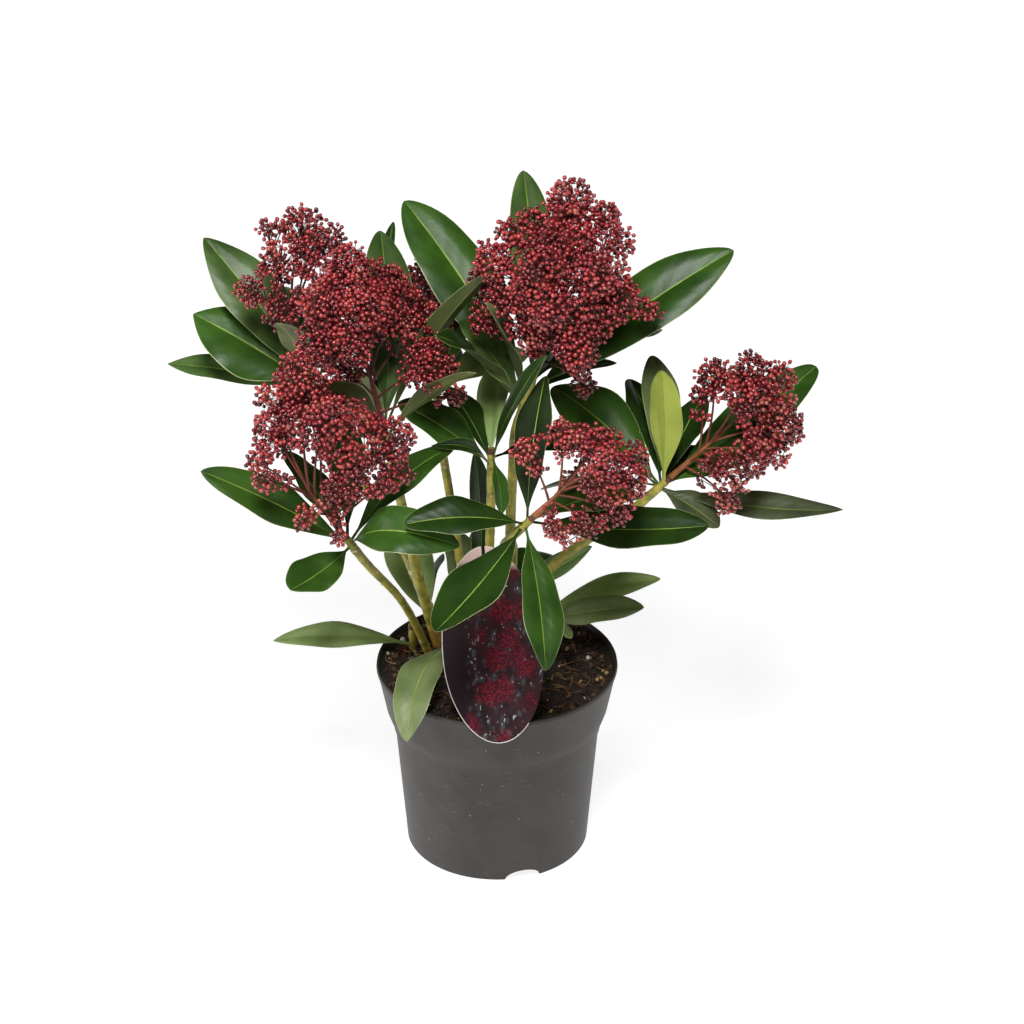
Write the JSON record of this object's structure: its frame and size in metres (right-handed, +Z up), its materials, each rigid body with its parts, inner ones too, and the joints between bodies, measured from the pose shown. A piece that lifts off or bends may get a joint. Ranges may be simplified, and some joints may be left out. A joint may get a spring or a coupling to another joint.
{
  "type": "potted skimmia",
  "caption": "Evergreen skimmia shrub in a round nursery pot: whorls of leathery leaves and domed heads of red flower buds on upright stems.",
  "frame": {"origin": "middle of the pot's flat underside, on the surface that the plant stands on", "axes": "+Z up, +X to the right and -Y towards the viewer of the plant's front"},
  "size_m": [0.3864, 0.274, 0.4069],
  "materials": {
    "pot": "matt dark grey recycled plastic, lightly scuffed and dusty",
    "soil": "loose dark brown peat and bark crumbs",
    "label": "semi-matt printed plastic sheet, dark aubergine with dull red blotches",
    "stems": "smooth green bark with pale leaf scars",
    "leaves": "leathery blades, glossy above and dull below, with a pale midrib",
    "flower_heads": "satin crimson buds on dark red stalks"
  },
  "bodies": {
    "root": {"flowers_back": "flower_heads", "flowers_back_left": "flower_heads", "flowers_front": "flower_heads", "flowers_front_left": "flower_heads", "flowers_left": "flower_heads", "flowers_right": "flower_heads", "flowers_top": "flower_heads", "leaves_back": "leaves", "leaves_back_left": "leaves", "leaves_centre": "leaves", "leaves_front": "leaves", "leaves_front_left": "leaves", "leaves_left": "leaves", "leaves_low_back": "leaves", "leaves_low_front": "leaves", "leaves_low_left": "leaves", "leaves_low_rear": "leaves", "leaves_low_right": "leaves", "leaves_right": "leaves", "leaves_top": "leaves", "plant_label": "label", "pot": "pot", "soil": "soil", "stem_back": "stems", "stem_back_left": "stems", "stem_centre": "stems", "stem_front": "stems", "stem_front_left": "stems", "stem_left": "stems", "stem_right": "stems", "stem_top": "stems"}
  },
  "joints": []
}
